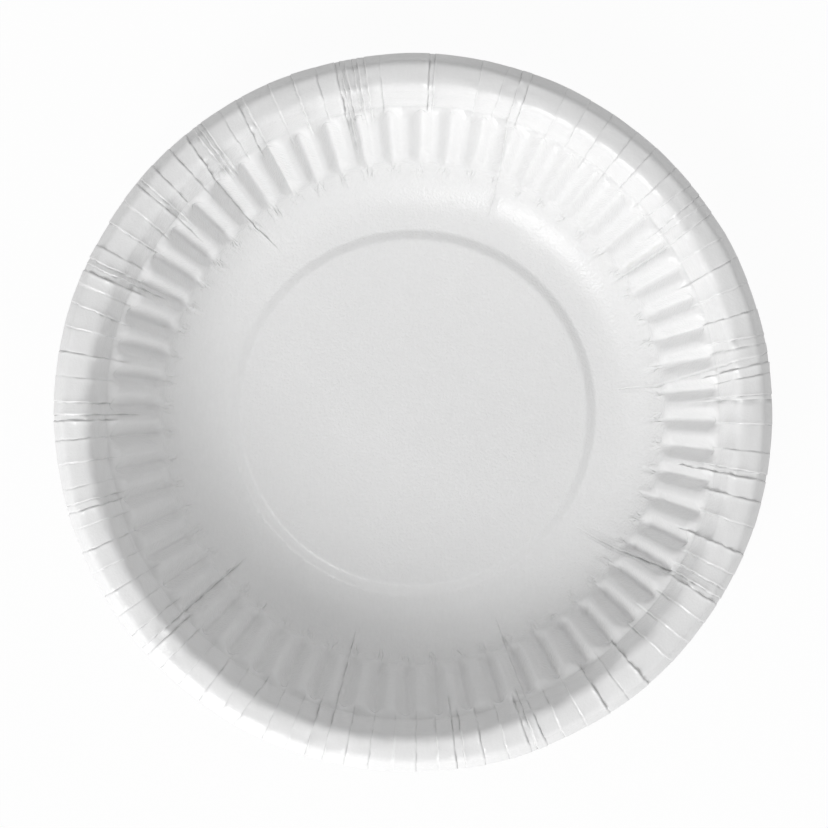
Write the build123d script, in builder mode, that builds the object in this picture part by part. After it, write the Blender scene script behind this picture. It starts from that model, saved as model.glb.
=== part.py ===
"""Round disposable bowl, pressed in one stroke from a single disc of coated paperboard.

One solid: the board keeps the same thickness from the raised floor panel, over the foot ring,
up the fluted wall and out to the turned-down lip. Millimetres, +Z up, origin on the table
under the middle of the bowl.
"""

import os
from math import asin, atan, atan2, copysign, cos, degrees, hypot, pi, radians, sin, tan

from build123d import *

# Board
board = 0.5  # paperboard with its coating

# Overall size
rim_diameter = 160.0  # over the lip
height = 35.0  # table to the top of the rim

# Floor: a raised panel that steps down to the flat ring the bowl stands on
floor_diameter = 80.4
step_run = 2.2  # how wide the step is, seen from above
step_rise = 1.5  # how far the panel stands above the foot ring
foot_ring_width = 4.1

# Wall: a round sweep out of the foot ring, then a straight cone up to the rim
sweep_radius = 12.3
sweep_facets = 4  # narrow cones that make up the sweep

# Rim: a sloping shoulder, a flat top and a lip that bends down to a short skirt
shoulder_run = 1.9
shoulder_rise = 1.45
rim_flat_width = 3.67
lip_radius = 1.2
lip_turn = 63.0  # degrees the lip turns down from level
lip_facets = 2
skirt_drop = 3.6

# Flutes: V-shaped grooves pressed outwards all round the straight wall
flute_count = 60
flute_depth = 1.15  # square to the wall, halfway along the flute
ridge_width = 1.0  # plain wall left between two grooves, halfway along the flute
first_ridge_angle = 1.6  # degrees from +X
bottom_margin = 0.4  # plain wall below and above the grooves, measured upright
top_margin = 5.8
bottom_runout = 1.6  # height over which a groove's end fades into the wall
top_runout = 5.5

# The bars that shape the flutes: how far a groove's bar stands into the bowl, and how far
# the deepest edge of any bar is lifted clear of the face at its two ends
bar_reach = 1.0
bar_clear = 0.1

# Floor, lip and rim, worked out from the sizes above
foot_height = board
floor_height = foot_height + step_rise
floor_radius = floor_diameter / 2
sweep_start = floor_radius + step_run + foot_ring_width
rim_radius = rim_diameter / 2
lip_slope = radians(lip_turn)
lip_start = rim_radius - skirt_drop / tan(lip_slope) - lip_radius * sin(lip_slope)
skirt_bottom = height - lip_radius * (1 - cos(lip_slope)) - skirt_drop

# The wall is the line from its top that touches the sweep
wall_top_radius = lip_start - rim_flat_width - shoulder_run
wall_top_height = height - shoulder_rise
centre_to_top_run = wall_top_radius - sweep_start
centre_to_top_rise = wall_top_height - foot_height - sweep_radius
centre_to_top = hypot(centre_to_top_run, centre_to_top_rise)
wall_slope = atan2(centre_to_top_rise, centre_to_top_run) + asin(sweep_radius / centre_to_top)
sweep_top = foot_height + sweep_radius * (1 - cos(wall_slope))


def wall_radius(z):
    """Radius of the wall's inner face at height z, where it is straight."""
    return wall_top_radius - (wall_top_height - z) / tan(wall_slope)


flute_bottom = sweep_top + bottom_margin
flute_top = wall_top_height - top_margin
middle_radius = wall_radius((flute_bottom + flute_top) / 2)
flute_pitch = 2 * pi * middle_radius / flute_count
flank_slope = atan(2 * flute_depth / (flute_pitch - ridge_width))
flute_places = PolarLocations(0, flute_count, start_angle=first_ridge_angle + degrees(pi / flute_count))


def bend(start, radius, turn, facets):
    """Points along a bend that leaves the level at start and turns up, or down for a negative turn."""
    side = copysign(radius, turn)
    angles = [turn * facet / facets for facet in range(facets + 1)]
    return [start + Vector(side * sin(angle), side * (1 - cos(angle))) for angle in angles]


def underside(corners):
    """The same line one board lower, its corners kept sharp."""
    steps = [(after - before).normalized() for before, after in zip(corners, corners[1:])]
    normals = [Vector(step.Y, -step.X) for step in steps]
    mitred = [
        corner + (before + after) * (board / (1 + before.dot(after)))
        for corner, before, after in zip(corners[1:], normals, normals[1:])
    ]
    return [corners[0] + normals[0] * board, *mitred, corners[-1] + normals[-1] * board]


def flute_corners(pressed_out, reach):
    """Corners of one flute's three-sided bar, moved out from the wall's inner face and reaching in."""
    corners = []
    for z, depth in (
        (flute_bottom, -bar_clear),
        (flute_bottom + bottom_runout, flute_depth),
        (flute_top - top_runout, flute_depth),
        (flute_top, -bar_clear),
    ):
        deepest = pressed_out + depth * wall_radius(z) / middle_radius
        half_width = (deepest + reach) / tan(flank_slope)
        across = Plane(
            origin=(wall_radius(z), 0, z),
            x_dir=(0, 1, 0),
            z_dir=(cos(wall_slope), 0, sin(wall_slope)),
        )
        outline = ((-half_width, reach), (0, -deepest), (half_width, reach))
        corners += [across.from_local_coords(corner) for corner in outline]
    return corners


# The pressed section, from the axis out to the cut edge of the lip
section = [
    Vector(0, floor_height),
    Vector(floor_radius, floor_height),
    Vector(floor_radius + step_run, foot_height),
    *bend(Vector(sweep_start, foot_height), sweep_radius, wall_slope, sweep_facets),
    Vector(wall_top_radius, wall_top_height),
    Vector(wall_top_radius + shoulder_run, height),
    *bend(Vector(lip_start, height), lip_radius, -lip_slope, lip_facets),
    Vector(rim_radius, skirt_bottom),
]

# One flute's rib on the wall's outer face, which starts halfway into the board
with BuildPart() as rib:
    ConvexPolyhedron(flute_corners(board / cos(flank_slope), -board / 2))

# The groove that backs it on the inner face
with BuildPart() as groove:
    ConvexPolyhedron(flute_corners(0.0, bar_reach))

# The bowl: the section turned about the axis, then a rib outside and a groove inside for each flute
with BuildPart() as bowl:
    with BuildSketch(Plane.XZ):
        with BuildLine():
            Polyline(*section, *reversed(underside(section)), close=True)
        make_face()
    revolve(axis=Axis.Z)
    with flute_places:
        add(rib.part)
    with flute_places:
        add(groove.part, mode=Mode.SUBTRACT)

bowl.part.label = "bowl"
os.makedirs("parts", exist_ok=True)
export_step(bowl.part, "parts/bowl.step")
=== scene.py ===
"""A pressed paper bowl standing on a plain white table, seen from straight above.

Sizes of the bowl are in millimetres and degrees, and are turned into metres where the mesh is made.
Finishes, table, lights and camera are in metres.
"""

import random
from math import atan2, cos, degrees, hypot, pi, radians, sin, tan

import bpy
import numpy as np
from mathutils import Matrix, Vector


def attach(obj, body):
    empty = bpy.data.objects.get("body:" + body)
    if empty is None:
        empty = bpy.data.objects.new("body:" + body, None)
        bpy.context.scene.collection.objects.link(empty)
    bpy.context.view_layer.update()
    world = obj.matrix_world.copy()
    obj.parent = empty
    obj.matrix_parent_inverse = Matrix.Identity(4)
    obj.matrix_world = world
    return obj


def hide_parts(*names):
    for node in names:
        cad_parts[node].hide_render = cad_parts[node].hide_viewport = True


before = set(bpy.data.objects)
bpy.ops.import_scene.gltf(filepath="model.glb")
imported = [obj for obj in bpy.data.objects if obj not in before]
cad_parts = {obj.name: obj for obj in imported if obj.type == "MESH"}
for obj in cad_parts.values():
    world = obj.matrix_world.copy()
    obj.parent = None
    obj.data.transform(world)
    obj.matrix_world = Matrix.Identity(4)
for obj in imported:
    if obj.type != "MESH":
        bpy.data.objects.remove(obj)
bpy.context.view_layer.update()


# The bowl: one disc of white paperboard, pressed to shape in one stroke between heated dies.
# Its section is a raised floor panel, a step down to the ring it stands on, a round sweep, a
# sloping wall, and a rim that turns down to the cut edge of the disc.

mm = 0.001
board = 0.5

floor_radius = 40.1
floor_height = 2.0
step_run = 2.2
step_rise = 1.5
step_top_bend = 1.9
step_foot_bend = 1.6
foot_ring_width = 4.2
sweep_bend = 12.3
wall_slope = 62.0
wall_length = 19.46
flare_length = 3.0
flare_turn = 42.0
crease_length = 0.4
crease_turn = 50.0
riser_length = 6.9
shoulder_bend = 2.34
crown_length = 3.4
crown_turn = 8.0
lip_bend = 1.8
lip_turn = 53.0
skirt = 4.0

riser_slope = wall_slope - flare_turn + crease_turn
step_slope = degrees(atan2(step_rise, step_run))
ease_top = step_top_bend * tan(radians(step_slope / 2))
ease_foot = step_foot_bend * tan(radians(step_slope / 2))

# The section as it is walked from the axis out to the cut edge: how long each stretch is, how far
# it turns up or down in degrees, and how many rows of faces it takes inside and underneath.
stretches = {
    "floor": (floor_radius - ease_top, 0.0, 14, 4),
    "step top": (step_top_bend * radians(step_slope), -step_slope, 4, 2),
    "step": (hypot(step_run, step_rise) - ease_top - ease_foot, 0.0, 2, 1),
    "step foot": (step_foot_bend * radians(step_slope), step_slope, 4, 2),
    "foot ring": (foot_ring_width - ease_foot, 0.0, 3, 2),
    "sweep": (sweep_bend * radians(wall_slope), wall_slope, 10, 5),
    "wall": (wall_length, 0.0, 16, 8),
    "flare": (flare_length, -flare_turn, 6, 3),
    "crease": (crease_length, crease_turn, 3, 2),
    "riser": (riser_length, 0.0, 6, 2),
    "shoulder": (shoulder_bend * radians(riser_slope), -riser_slope, 6, 3),
    "crown": (crown_length, -crown_turn, 5, 2),
    "lip": (lip_bend * radians(lip_turn), -lip_turn, 4, 3),
    "skirt": (skirt, 0.0, 4, 2),
}

place = {}
walked = 0.0
for stretch, (length, turn, rows_inside, rows_under) in stretches.items():
    place[stretch] = walked
    walked += length
cut_edge = walked
fold_line = place["crease"]

pace = 0.01
walk = np.arange(0.0, cut_edge + pace, pace)
turns = [turn for length, turn, rows_inside, rows_under in stretches.values()]
heading = np.interp(walk, [*place.values(), cut_edge], np.radians(np.cumsum([0.0, *turns])))
walk_radius = np.cumsum(np.cos(heading)) * pace
walk_height = floor_height + np.cumsum(np.sin(heading)) * pace

# Where a stretch holds its count of rows.
inside = 2
underneath = 3


def rows_along(side):
    """Distances along the section at which the mesh has a row, inside or underneath."""
    rows = [
        np.linspace(place[stretch], place[stretch] + sizes[0], sizes[side], endpoint=False)
        for stretch, sizes in stretches.items()
    ]
    return np.append(np.concatenate(rows), cut_edge)


def eased(low, high, value):
    """0 below low, 1 above high, and a smooth rise between."""
    share = np.clip((value - low) / (high - low), 0.0, 1.0)
    return share * share * (3 - 2 * share)


# Folds in the rim: where the flat disc had too much board it buckled into radial pleats. Each is an
# angle at the lip, and the few that lean have another angle at the fold line under the rim.
faint_folds = (29.5, 64.5, 95.5, 106.0, 122.8, 174.0, 192.5, 214.6, 229.2, 237.2, 249.0, 266.6, 307.0)
plain_folds = (
    6.5, 11.2, 12.4, 16.8, 21.3, 25.8, 35.6, 39.3, 43.0, 47.5, 51.5, 56.2, 60.3, 74.5, 78.8,
    114.0, 118.7, 119.5, 132.8, 136.5, 143.8, 152.0, 158.8, 166.0, 184.5, 188.5, 199.2, 203.0,
    206.8, 210.8, 225.3, 233.3, 240.0, 245.1, 258.8, 262.7, 270.5, 274.0, 281.7, 285.5, 289.3,
    295.0, 299.0, 316.0, 320.0, 324.0, 333.0, 341.2, 353.5, 358.0,
)
strong_folds = (
    2.2, 2.9, 8.3, 9.6, 33.8, 37.2, 70.5, 72.2, 86.5, 87.3, 98.0, 99.2, 99.9, 101.2, 102.0, 102.7,
    110.0, 126.3, 127.1, 128.0, 129.3, 139.5, 140.4, 148.0, 154.5, 155.5, 156.5, 162.0, 170.0,
    178.3, 180.4, 181.3, 195.2, 196.4, 218.4, 221.0, 222.3, 252.3, 255.2, 277.1, 278.4, 290.3,
    292.1, 303.3, 311.0, 327.8, 328.7, 330.3, 336.8, 345.5, 349.0, 350.0,
)
leaning = {
    6.5: 5.5, 8.3: 7.2, 9.6: 8.3, 12.4: 13.0, 21.3: 20.8, 25.8: 25.0, 33.8: 33.0, 37.2: 36.5,
    39.3: 40.0, 74.5: 75.3, 119.5: 120.2, 129.3: 130.4, 136.5: 137.0, 143.8: 144.5, 158.8: 159.3,
    162.0: 163.0, 240.0: 241.3, 292.1: 291.5, 316.0: 315.5, 320.0: 319.5,
}
# Folds that run on down the wall as cracks: how far below the fold line they end, and how far they
# have leant over by then.
cracks = {
    9.6: (34.0, -3.0), 33.8: (25.0, 0.0), 72.2: (33.0, -3.0), 102.0: (14.0, 0.0), 129.3: (32.0, 0.0),
    140.4: (13.0, 0.5), 155.5: (12.0, 0.0), 180.4: (12.0, 0.0), 221.0: (30.0, 0.0), 255.2: (29.0, 0.0),
    292.1: (30.0, 0.0), 328.7: (34.0, -3.5), 349.0: (12.0, 0.0), 2.2: (11.0, 0.0),
}

seed = 11
chance = random.Random(seed)
faint = 0.3
plain = 0.6
strong = 1.0
strength = {
    **dict.fromkeys(faint_folds, faint),
    **dict.fromkeys(plain_folds, plain),
    **dict.fromkeys(strong_folds, strong),
}
folds = sorted(strength)
fold_count = len(folds)


def each_fold(low, high):
    """A chance value between low and high for every fold."""
    return np.array([chance.uniform(low, high) for fold in folds])


fold_angle = np.array(folds)
fold_strength = np.array([strength[angle] for angle in folds])
fold_lean = np.array([leaning.get(angle, angle) - angle for angle in folds])
fold_reach = each_fold(1.0, 6.0) * fold_strength
for fold, angle in enumerate(folds):
    if angle in cracks:
        fold_reach[fold] = cracks[angle][0]
fold_side = np.array([chance.choice((-1, 1)) for fold in folds])
fold_step = fold_side * each_fold(0.24, 0.46) * fold_strength
fold_wave = each_fold(5.0, 11.0)
fold_phase = each_fold(0.0, 2 * pi)
fold_wander = each_fold(0.025, 0.08)
# Painted shade on each fold where it reaches the lip; some folds get none.
lip_shade_paint = each_fold(-1.0, 1.6).clip(0.0) * fold_strength
panel_width = np.diff(np.append(fold_angle, fold_angle[0] + 360.0))
panel_tip = each_fold(-0.22, 0.22)
bow_span = 4.0
bow_most = 1.2
panel_bow = each_fold(-0.15, 0.35) * np.clip(panel_width / bow_span, 0.0, bow_most)
panel_ridge = np.zeros(fold_count)

# Two folds close together are a pleat, a narrow strip that lies lower than the board beside it and
# stands up in a ridge where it turns over the shoulder.
pleat_width = 1.4
for fold in range(fold_count - 1):
    if panel_width[fold] < pleat_width:
        fold_step[fold] = -abs(fold_step[fold])
        fold_step[fold + 1] = abs(fold_step[fold + 1])
        panel_ridge[fold] = chance.uniform(0.2, 0.5)

# The columns of the mesh follow the folds: one on each fold, two close beside it on either hand, and
# even ones between.
fold_near = 0.13
fold_beside = 0.34
near_most = 0.12
beside_most = 0.3
column_spacing = 0.46
floor_thinning = 4
under_thinning = 2
column_panel = []
column_share = []
for fold, width in enumerate(panel_width):
    near = min(fold_near / width, near_most)
    beside = min(fold_beside / width, beside_most)
    between = max(1, round((1 - 2 * beside) * width / column_spacing))
    shares = [0.0, near, *np.linspace(beside, 1 - beside, between + 1), 1 - near]
    column_panel += [fold] * len(shares)
    column_share += shares
columns = len(column_panel) // floor_thinning * floor_thinning
column_panel = np.array(column_panel[:columns])
column_share = np.array(column_share[:columns])
column_next = (column_panel + 1) % fold_count
column_width = panel_width[column_panel]
on_fold = column_share == 0.0

# A fold wavers as it runs, in a slow wave with a smaller kink on it, and a crack that leans pulls the
# board beside it along.
kink = 0.5
kink_pace = 2.7
crack_pull = 7.0


def column_angles(along):
    """Angle of every column at each distance along the section, in degrees."""
    along = along[:, None]
    down = np.clip((cut_edge - along) / (cut_edge - fold_line), 0.0, 1.0)
    turns_along = 2 * pi * along / fold_wave
    shift = np.sin(turns_along + fold_phase) + kink * np.sin(kink_pace * turns_along + 3 * fold_phase)
    shift = fold_lean * down + fold_wander * shift
    shift = shift * eased(place["sweep"], place["wall"], along)
    straight = fold_angle[column_panel] + column_width * column_share
    angles = straight + shift[:, column_panel] * (1 - column_share) + shift[:, column_next] * column_share
    for crack, (reach, leant) in cracks.items():
        apart = (straight - crack + 180.0) % 360.0 - 180.0
        below = np.clip((fold_line - along) / reach, 0.0, 1.0)
        angles = angles + leant * below * np.exp(-((apart / crack_pull) ** 2))
    return angles


# Where along the section a panel tips, bows in and stands in a ridge, in millimetres from the fold
# line, the crown and the place where a fold ends.
tip_below = 2.5
tip_above = 0.6
bow_above = 3.0
bow_past_crown = 1.0
ridge_before_crown = 0.9
ridge_spread = 0.65
end_ease = 1.5

# How a fold's height swells and shrinks as it runs outwards.
swell_mean = 0.7
swell_part = 0.3
slow_swell = 5.0
fast_swell = 13.0
swell_least = 0.12
swell_most = 1.2

# A fold is a step with one edge standing up and a narrow groove between; each has a share of the
# step's height and a reach in millimetres.
high_share = 0.75
high_reach = 0.35
low_share = 0.35
low_reach = 0.18
groove_share = 0.95
crack_reach = 0.9
# The share of a fold's painted shade that it keeps where it runs on down the wall as a crack.
crack_shade = 0.5
lip_flattening = 0.6
close_reach = 1.1


def folded(along, radius):
    """How far the folds and the panels between them stand off the section, how much shade is painted
    on each point of a fold line, and how close it is to a strong one."""
    along = along[:, None]
    arc = np.radians(1.0) * radius[:, None]
    in_rim = eased(fold_line - tip_below, fold_line + tip_above, along)
    on_riser = eased(fold_line, fold_line + bow_above, along)
    on_riser = on_riser * eased(place["crown"] + bow_past_crown, place["shoulder"], along)
    on_crest = np.exp(-(((along - place["crown"] + ridge_before_crown) / ridge_spread) ** 2))
    at_lip = eased(place["lip"], cut_edge, along)
    swell = swell_mean + swell_part * np.sin(slow_swell * along / fold_wave + 2 * fold_phase)
    swell = swell + swell_part * np.sin(fast_swell * along / fold_wave + 5 * fold_phase)
    end = fold_line - fold_reach
    swell = np.clip(swell, swell_least, swell_most) * eased(end - end_ease, end + end_ease, along)
    middle = (fold_line + cut_edge) / 2
    tip = panel_tip[column_panel] * (along - middle) / (cut_edge - middle)
    hump = 4 * column_share * (1 - column_share)
    bow = hump * (panel_ridge[column_panel] * on_crest - panel_bow[column_panel] * on_riser)
    height = np.where(on_fold, 0.0, in_rim * (1 - at_lip) * tip + bow)
    fold_shade_paint = 0.0
    close = 0.0
    for fold, side, share in ((column_panel, 1, column_share), (column_next, -1, 1 - column_share)):
        step = fold_step[fold] * side * swell[:, fold] * (1 - lip_flattening * at_lip)
        apart = share * column_width * arc
        high = high_share * step * np.exp(-apart / high_reach)
        low = low_share * step * np.exp(-apart / low_reach)
        fades = in_rim * (1 - share) + (1 - in_rim) * np.exp(-apart / crack_reach)
        beside = step / 2 * fades + np.where(step > 0, high, low)
        lowest = -np.abs(step) * groove_share
        height = height + np.where(share == 0.0, lowest, np.where(on_fold, 0.0, beside))
        # Painted shade: the column on a fold line is greyed, less where it runs on as a crack below the
        # rim, and more at the lip.
        shade = fold_strength[fold] * swell[:, fold] * (crack_shade + (1 - crack_shade) * in_rim)
        shade = shade + lip_shade_paint[fold] * at_lip
        fold_shade_paint = fold_shade_paint + np.where(share == 0.0, shade, 0.0)
        close = close + fold_strength[fold] ** 3 * np.exp(-apart / close_reach)
    return height, fold_shade_paint, close


# Flutes: grooves pressed outwards all round the wall, sharp at the bottom and round at the crests
# between them, which end short at the sweep and fade out where the wall flares under the rim.
flute_count = 60
flute_pitch = 360.0 / flute_count
first_valley = 4.6
flute_depth = 2.4
flank_slope = 0.95
flute_bottom = place["wall"] + 0.2
flute_top = fold_line + 0.4
flute_middle_radius = 62.6
bottom_gain = 0.8
top_fade = 3.4
valley_ease = 0.10
crest_ease = 0.30
crest_far = 2.5
crest_near = 0.3
crest_rise = 0.6
rise_below = 1.0
rise_above = 3.0


def each_flute(low, high):
    """A chance value between low and high for every flute."""
    return np.array([chance.uniform(low, high) for flute in range(flute_count)])


valley_drift = each_flute(-0.14, 0.14)
valley_depth = each_flute(0.88, 1.08) * flute_depth
valley_bottom = each_flute(-0.3, 0.3) + flute_bottom
valley_top = each_flute(-0.3, 0.25) + flute_top


def fluted(along, radius, angles):
    """How far the grooves press the wall outwards; the crests between them stand in a little."""
    along = along[:, None]
    radius = radius[:, None]
    turn = (angles - first_valley) / flute_pitch
    flute = np.round(turn).astype(int) % flute_count
    apart = (turn - np.round(turn)) * flute_pitch - valley_drift[flute]
    across = np.hypot(np.radians(apart) * radius, valley_ease)
    depth = valley_depth[flute] * radius / flute_middle_radius
    groove = np.minimum((along - valley_bottom[flute]) * bottom_gain, depth) - flank_slope * across
    pressed = (groove + np.hypot(groove, crest_ease)) / 2 * eased(-crest_far, -crest_near, groove)
    rise = crest_rise * eased(flute_bottom - rise_below, flute_bottom + rise_above, along)
    return (pressed - rise) * eased(valley_top[flute], valley_top[flute] - top_fade, along)


# Strain: fine creases gather just under each flute, and below the fold line beside strong folds.
under_flute = 1.9
under_line = 0.6
strain_length = 2.2
strain_turn = 1.6
strain_at_line = 0.3


def strained(along, angles, close):
    """How full of fine creases the board is, beside strong folds and under the flutes."""
    along = along[:, None]
    apart = (angles - first_valley + flute_pitch / 2) % flute_pitch - flute_pitch / 2
    below = (along - flute_bottom + under_flute) / strain_length
    under = np.exp(-(below**2) - (apart / strain_turn) ** 2)
    at_line = np.exp(-(((along - fold_line + under_line) / strain_length) ** 2))
    return np.clip(under + strain_at_line * at_line * close, 0.0, 1.0)


# Wrinkles: short slack creases beside the folds at the fold line, ticks that run on from the lower end
# of each groove, and soft dents where a fold crosses the shoulder. Each is an angle, a distance along
# the section, a lean, a length, a width and a height.
flute_ticks = 3
wrinkle_ends = 3
wrinkles = []
for fold in range(fold_count):
    for crease in range(2 if fold_strength[fold] == strong else 1):
        wrinkles.append(
            (
                fold_angle[fold] + fold_lean[fold] + chance.uniform(-1.6, 1.6),
                fold_line + chance.uniform(-3.0, 1.2),
                chance.uniform(-0.9, 0.9),
                chance.uniform(0.8, 2.0),
                chance.uniform(0.4, 0.6),
                chance.choice((-1, 1)) * chance.uniform(0.07, 0.18),
            )
        )
for flute in range(flute_count):
    for tick in range(flute_ticks):
        wrinkles.append(
            (
                first_valley + flute * flute_pitch + chance.uniform(-0.9, 0.9),
                flute_bottom - chance.uniform(0.2, 3.2),
                chance.uniform(-0.35, 0.35),
                chance.uniform(0.9, 1.9),
                chance.uniform(0.5, 0.7),
                chance.choice((-1, 1)) * chance.uniform(0.25, 0.55),
            )
        )
dents = [
    (
        fold_angle[fold] + fold_lean[fold] / 2 + chance.choice((-1, 1)) * chance.uniform(0.6, 1.3),
        place["shoulder"] + chance.uniform(-0.6, 1.8),
        0.0,
        chance.uniform(0.7, 1.3),
        chance.uniform(0.6, 1.1),
        -chance.uniform(0.03, 0.14),
    )
    for fold in range(fold_count)
]


def wrinkled(along, radius, angles):
    """How far the wrinkles and dents stand off the board."""
    height = np.zeros_like(angles)
    for marks, creased in ((wrinkles, True), (dents, False)):
        for angle, middle, lean, length, width, size in marks:
            rows = np.abs(along - middle) < wrinkle_ends * length
            off = along[rows, None] - middle
            across = np.radians((angles[rows] - angle + 180.0) % 360.0 - 180.0) * radius[rows, None]
            share = (across - lean * off) / width
            bump = size * np.exp(-(share**2) - (off / length) ** 2)
            height[rows] += bump * share if creased else bump
    return height


# The board's own slow waviness, a few hundredths of a millimetre.
wave_count = 14
wave_slope = 0.0009
waves = [
    (chance.uniform(0.0, pi), chance.uniform(9.0, 34.0), chance.uniform(0.0, 2 * pi))
    for wave in range(wave_count)
]


def wavy(x, y):
    """How far the board's waviness lifts it at x and y."""
    return sum(
        wave_slope * length * np.sin((x * cos(way) + y * sin(way)) * 2 * pi / length + phase)
        for way, length, phase in waves
    )


# The crease under the rim: a fine groove, sharper towards one side of the bowl and uneven all round.
crease_groove = 0.12
crease_width = 0.25
# Painted shade along the crease line, heaviest on the side where the groove is sharpest.
crease_shade_paint = 0.3
crease_mean = 0.45
crease_swing = 0.55
crease_side = pi / 3
crease_uneven = 0.4
uneven_waves = 5
uneven_ripples = 17
uneven_start = 1.0

# The floor and the foot ring stay flat; the folds and the waviness begin on the sweep.
flat_ease = 2.5


def board_face(along, below):
    """Points of one face of the board, this far below the pressed face, with their painted fold shade and
    strain.
    """
    radius = np.interp(along, walk, walk_radius)
    height = np.interp(along, walk, walk_height)
    slope = np.interp(along, walk, heading)
    angles = column_angles(along)
    off, fold_shade_paint, close = folded(along, radius)
    strain = strained(along, angles, close)
    off = off - fluted(along, radius, angles) + wrinkled(along, radius, angles)
    turned = np.radians(angles)
    crease = np.exp(-(((along[:, None] - fold_line) / crease_width) ** 2))
    uneven = np.sin(uneven_waves * turned + uneven_start) * np.sin(uneven_ripples * turned)
    sharper = crease_mean + crease_swing * np.cos(turned - crease_side) + crease_uneven * uneven
    off = off - crease_groove * crease * sharper
    # Painted shade along the crease, kept to where the groove is sharpest.
    fold_shade_paint = fold_shade_paint + crease_shade_paint * crease * np.clip(sharper, 0.0, 1.0)
    off = off + wavy(radius[:, None] * np.cos(turned), radius[:, None] * np.sin(turned))
    off = off * eased(place["sweep"], place["sweep"] + flat_ease, along)[:, None] - below
    out = radius[:, None] - np.sin(slope)[:, None] * off
    up = height[:, None] + np.cos(slope)[:, None] * off
    points = np.stack((out * np.cos(turned), out * np.sin(turned), up), axis=-1) * mm
    return points, fold_shade_paint, strain


# The mesh: the inside face and the underside as two grids that meet at the cut edge. The underside
# takes every second column, and the floor every fourth.
points = []
fold_shade_paints = []
strains = []
faces = []
face_finish = []

# The order of the board's three finishes.
coat_place = 0
bare_place = 1
edge_place = 2


def lay_rows(along, below, keep):
    """Adds the points of one face of the board; gives back its rows, each with how far it is thinned."""
    grid, fold_shade_paint, strain = board_face(along, below)
    rows = []
    for row, distance in enumerate(along):
        thinned = keep if distance > place["foot ring"] else floor_thinning
        start = len(points)
        if row == 0:
            points.append((0.0, 0.0, float(grid[0, 0, 2])))
            fold_shade_paints.append(0.0)
            strains.append(0.0)
        else:
            points.extend(grid[row, ::thinned].tolist())
            fold_shade_paints.extend(fold_shade_paint[row, ::thinned].tolist())
            strains.extend(strain[row, ::thinned].tolist())
        rows.append((range(start, len(points)), thinned))
    return rows


def skin(inner, outer, upwards, finish):
    """Faces between two neighbouring rows, where the inner one may have fewer points."""
    few, few_thinned = inner
    many, many_thinned = outer
    ratio = few_thinned // many_thinned
    for column in range(len(many) // ratio):
        fan = [many[(column * ratio + step) % len(many)] for step in range(ratio + 1)]
        if len(few) == 1:
            face = [few[0], *fan]
        else:
            face = [few[column], *fan, few[(column + 1) % len(few)]]
        faces.append(face if upwards else face[::-1])
        face_finish.append(finish)


inside_rows = lay_rows(rows_along(inside), below=0.0, keep=1)
under_rows = lay_rows(rows_along(underneath), below=board, keep=under_thinning)
for inner, outer in zip(inside_rows, inside_rows[1:]):
    skin(inner, outer, True, coat_place)
for inner, outer in zip(under_rows, under_rows[1:]):
    skin(inner, outer, False, bare_place)
skin(under_rows[-1], inside_rows[-1], False, edge_place)

bowl_mesh = bpy.data.meshes.new("pressed_bowl")
bowl_mesh.from_pydata(points, [], faces)
bowl_mesh.polygons.foreach_set("material_index", face_finish)
bowl_mesh.polygons.foreach_set("use_smooth", [True] * len(faces))
# The "fold" attribute carries the shade painted along the folds and the crease.
for name, values in (("fold", fold_shade_paints), ("strain", strains)):
    attribute = bowl_mesh.attributes.new(name, "FLOAT", "POINT")
    attribute.data.foreach_set("value", values)
edge_rows = [set(rows[-1][0]) for rows in (inside_rows, under_rows)]
for edge in bowl_mesh.edges:
    if any(edge.vertices[0] in row and edge.vertices[1] in row for row in edge_rows):
        edge.use_edge_sharp = True
bowl_mesh.validate()
bowl = bpy.data.objects.new("pressed_bowl", bowl_mesh)
bpy.context.scene.collection.objects.link(bowl)


class Wire:
    """An output of a node in a finish, so that sums on it are written as sums."""

    def __init__(self, socket):
        self.socket = socket

    @classmethod
    def node(cls, tree, kind, settings, sockets, output=0):
        """A new node of this kind, its settings first, then the values or wires of its sockets."""
        made = tree.nodes.new(kind)
        for setting, value in settings.items():
            setattr(made, setting, value)
        for name, value in sockets.items():
            if isinstance(value, Wire):
                tree.links.new(value.socket, made.inputs[name])
            else:
                made.inputs[name].default_value = value
        return cls(made.outputs[output])

    def maths(self, operation, first, second):
        """A Math node on this value's tree."""
        tree = self.socket.id_data
        return Wire.node(tree, "ShaderNodeMath", {"operation": operation}, {0: first, 1: second})

    def __add__(self, other):
        return self.maths("ADD", self, other)

    __radd__ = __add__

    def __sub__(self, other):
        return self.maths("SUBTRACT", self, other)

    def __rsub__(self, other):
        return self.maths("SUBTRACT", other, self)

    def __mul__(self, other):
        return self.maths("MULTIPLY", self, other)

    __rmul__ = __mul__


# Fine creases: how many there are to a metre, how thin and high they are, the radius at which they are
# laid out and how far they are drawn out.
crease_scale = 620.0
crease_share = 0.09
crease_height = 0.17
crease_ring = 0.065
crease_draw = 0.28

# Clouds and fibres in the board, which is made of fibres that lie mostly one way.
cloud_scale = 90.0
cloud_share = 0.4
fibre_scale = 1500.0
fibre_turn = 35.0
fibre_draw = 0.3
mottle = 0.6
noise_middle = 0.5
# The grey that is painted into the folds and the crease as shade.
painted_shade_grey = (0.30, 0.30, 0.30, 1.0)

# The hot die irons the rim: between these heights the grain fades to this share.
rim_foot = 0.022
rim_top = 0.031
rim_grain = 0.4


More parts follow.
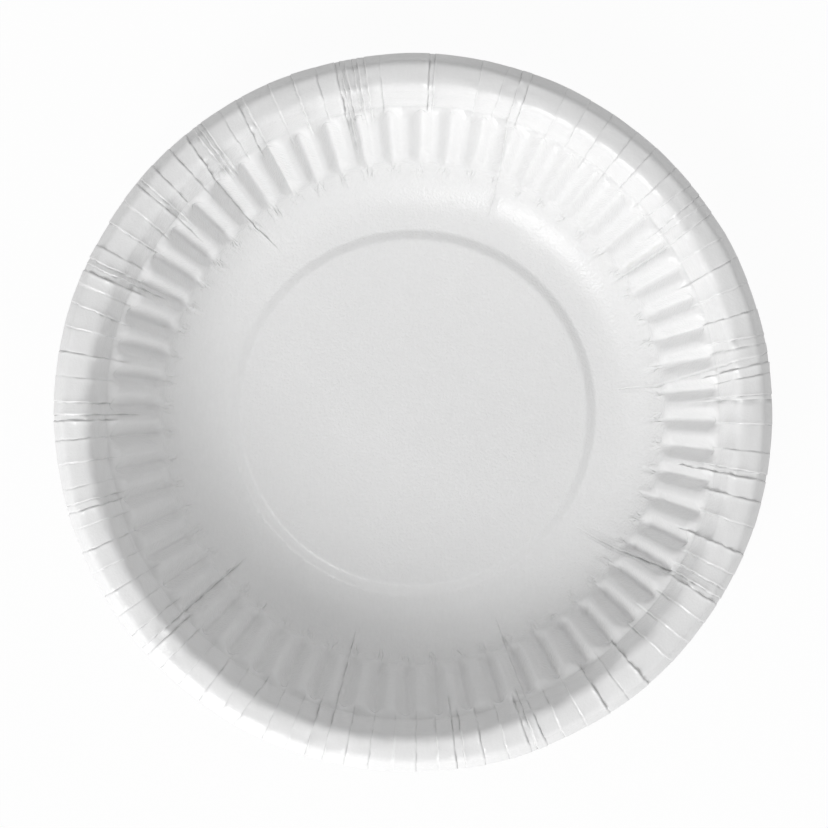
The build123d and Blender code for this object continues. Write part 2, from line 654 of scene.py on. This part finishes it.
def board_finish(name, pale, grey, roughness, roughness_range, sheen, grain, grain_scale, fold_shade_share):
    """One face of the board: fibres, clouds and painted fold shade in its colour, and grain in its gloss
    and surface.
    """
    finish = bpy.data.materials.new(name)
    finish.use_nodes = True
    tree = finish.node_tree
    shader = tree.nodes["Principled BSDF"]
    shader.inputs["Specular IOR Level"].default_value = sheen
    where = Wire.node(tree, "ShaderNodeTexCoord", {}, {}, "Object")
    fibre_way = Wire.node(
        tree,
        "ShaderNodeMapping",
        {},
        {"Vector": where, "Rotation": (0.0, 0.0, radians(fibre_turn)), "Scale": (1.0, fibre_draw, 1.0)},
    )

    def noise(spot, scale, detail):
        """Noise of this scale, in features per metre."""
        sockets = {"Vector": spot, "Scale": scale, "Detail": detail, "Roughness": mottle}
        return Wire.node(tree, "ShaderNodeTexNoise", {}, sockets)

    def vector(operation, first, second):
        """A Vector Math node."""
        return Wire.node(tree, "ShaderNodeVectorMath", {"operation": operation}, {0: first, 1: second})

    def blend(share, first, second):
        """A colour between the first and the second."""
        sockets = {0: share, 6: first, 7: second}
        return Wire.node(tree, "ShaderNodeMix", {"data_type": "RGBA"}, sockets, 2)

    # Fine creases run outwards from the middle, and are thin lines where a drawn-out noise crosses its
    # middle value.
    flat = vector("MULTIPLY", where, (1.0, 1.0, 0.0))
    way_out = vector("NORMALIZE", flat, (0.0, 0.0, 0.0))
    ring = vector("MULTIPLY", way_out, (crease_ring, crease_ring, 0.0))
    reach = Wire.node(tree, "ShaderNodeVectorMath", {"operation": "LENGTH"}, {0: flat}, "Value")
    lift = Wire.node(tree, "ShaderNodeSeparateXYZ", {}, {0: where}, "Z")
    outwards = Wire.node(tree, "ShaderNodeCombineXYZ", {}, {"Z": (reach + lift) * crease_draw})
    drawn_out = noise(vector("ADD", ring, outwards), crease_scale, detail=1.0) - noise_middle
    thin = 1.0 - drawn_out.maths("ABSOLUTE", drawn_out, 0.0) * (1.0 / crease_share)
    creases = thin.maths("MAXIMUM", thin, 0.0)
    strain = Wire.node(tree, "ShaderNodeAttribute", {"attribute_name": "strain"}, {}, "Fac")

    clouds = noise(where, cloud_scale, detail=3.0)
    fibres = noise(fibre_way, fibre_scale, detail=2.0)
    ironed = Wire.node(
        tree,
        "ShaderNodeMapRange",
        {},
        {"Value": lift, "From Min": rim_foot, "From Max": rim_top, "To Min": 1.0, "To Max": rim_grain},
    )
    peel = noise(where, grain_scale, detail=2.0) * ironed
    # Painted shade: the colour is greyed along the folds and the crease, as much as the "fold" attribute
    # says.
    fold = Wire.node(tree, "ShaderNodeAttribute", {"attribute_name": "fold"}, {}, "Fac")
    mixed = clouds * cloud_share + fibres * (1 - cloud_share)
    colour = blend(fold * fold_shade_share, blend(mixed, (*pale, 1.0), (*grey, 1.0)), painted_shade_grey)
    gloss = (clouds + fibres - 2 * noise_middle) * roughness_range + roughness
    height = peel * grain + strain * creases * crease_height
    relief = Wire.node(tree, "ShaderNodeBump", {}, {"Strength": 1.0, "Distance": mm, "Height": height})
    tree.links.new(colour.socket, shader.inputs["Base Color"])
    tree.links.new(gloss.socket, shader.inputs["Roughness"])
    tree.links.new(relief.socket, shader.inputs["Normal"])
    return finish


inside_coat = board_finish(
    "inside_coat",
    pale=(0.93, 0.93, 0.93),
    grey=(0.85, 0.85, 0.85),
    roughness=0.21,
    roughness_range=0.08,
    sheen=0.36,
    grain=0.13,
    grain_scale=1600.0,
    fold_shade_share=0.38,
)
bare_underside = board_finish(
    "bare_underside",
    pale=(0.83, 0.83, 0.82),
    grey=(0.77, 0.77, 0.755),
    roughness=0.72,
    roughness_range=0.14,
    sheen=0.3,
    grain=0.05,
    grain_scale=1200.0,
    fold_shade_share=0.3,
)
raw_edge = board_finish(
    "raw_edge",
    pale=(0.80, 0.785, 0.75),
    grey=(0.70, 0.685, 0.65),
    roughness=0.85,
    roughness_range=0.10,
    sheen=0.2,
    grain=0.06,
    grain_scale=2600.0,
    fold_shade_share=0.2,
)
for finish in (inside_coat, bare_underside, raw_edge):
    bowl_mesh.materials.append(finish)

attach(bowl, "root")
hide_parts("bowl")


# The table: a wide white sheet with a matt face. It is a little below the foot ring, so that the two
# faces don't lie in one plane, and it looks white while it still takes the bowl's shadow.
table_half = 3.0
table_drop = 0.0001
sheet_colour = (0.82, 0.82, 0.82, 1.0)
sheet_roughness = 0.9
sheet_sheen = 0.1
sheet_white_share = 0.96
pure_white = (1.0, 1.0, 1.0, 1.0)
table_mesh = bpy.data.meshes.new("table")
table_mesh.from_pydata(
    [
        (-table_half, -table_half, -table_drop),
        (table_half, -table_half, -table_drop),
        (table_half, table_half, -table_drop),
        (-table_half, table_half, -table_drop),
    ],
    [],
    [(0, 1, 2, 3)],
)
table = bpy.data.objects.new("table", table_mesh)
bpy.context.scene.collection.objects.link(table)
white_sheet = bpy.data.materials.new("white_sheet")
white_sheet.use_nodes = True
sheet_tree = white_sheet.node_tree
sheet_shader = sheet_tree.nodes["Principled BSDF"]
sheet_shader.inputs["Base Color"].default_value = sheet_colour
sheet_shader.inputs["Roughness"].default_value = sheet_roughness
sheet_shader.inputs["Specular IOR Level"].default_value = sheet_sheen


def seen_directly(tree):
    """1 for a ray from the camera, off gloss or through glass, and 0 for light that falls on something."""
    path = tree.nodes.new("ShaderNodeLightPath")
    camera_ray, glossy_ray, clear_ray = (
        Wire(path.outputs[name]) for name in ("Is Camera Ray", "Is Glossy Ray", "Is Transmission Ray")
    )
    return camera_ray + glossy_ray + clear_ray


sheet_white = Wire.node(sheet_tree, "ShaderNodeEmission", {}, {"Color": pure_white, "Strength": 1.0})
sheet_mix = Wire.node(
    sheet_tree,
    "ShaderNodeMixShader",
    {},
    {0: seen_directly(sheet_tree) * sheet_white_share, 1: Wire(sheet_shader.outputs[0]), 2: sheet_white},
)
sheet_tree.links.new(sheet_mix.socket, sheet_tree.nodes["Material Output"].inputs["Surface"])
table_mesh.materials.append(white_sheet)


# The light: a tall soft panel on the left, in front, a long low one under it, a weak one on the right
# that gives no reflection, and an even white room all round.
room_level = 0.38
panel_distance = 2.2
room = bpy.data.worlds.new("room")
bpy.context.scene.world = room
room.use_nodes = True
room_tree = room.node_tree
room_light = room_tree.nodes["Background"]
room_light.inputs["Color"].default_value = pure_white
room_strength = seen_directly(room_tree) * (1 - room_level) + room_level
room_tree.links.new(room_strength.socket, room_light.inputs["Strength"])


def soft_panel(name, azimuth, lift, width, tall, energy):
    """A soft panel of light that faces the bowl."""
    lamp = bpy.data.lights.new(name, "AREA")
    lamp.shape = "RECTANGLE"
    lamp.size = width
    lamp.size_y = tall
    lamp.energy = energy
    panel = bpy.data.objects.new(name, lamp)
    around = radians(azimuth)
    up = radians(lift)
    panel.location = panel_distance * Vector((cos(around) * cos(up), sin(around) * cos(up), sin(up)))
    panel.rotation_euler = (-panel.location).to_track_quat("-Z", "Y").to_euler()
    bpy.context.scene.collection.objects.link(panel)
    return panel


soft_panel("main_panel", azimuth=237.0, lift=44.5, width=0.75, tall=1.35, energy=26.5)
soft_panel("low_panel", azimuth=234.0, lift=12.0, width=2.2, tall=0.54, energy=9.0)
right_panel = soft_panel("right_panel", azimuth=330.0, lift=30.0, width=0.62, tall=0.54, energy=2.8)
right_panel.visible_glossy = False


# The camera: straight above the middle of the bowl and looking down, with a long lens, so that the wall
# shows little perspective.
camera_lens = 150.0
camera_place = (0.00016, -0.0003, 0.8)
camera_data = bpy.data.cameras.new("camera")
camera_data.lens = camera_lens
camera = bpy.data.objects.new("camera", camera_data)
camera.location = camera_place
bpy.context.scene.collection.objects.link(camera)
bpy.context.scene.camera = camera
bpy.context.scene.view_settings.view_transform = "Standard"
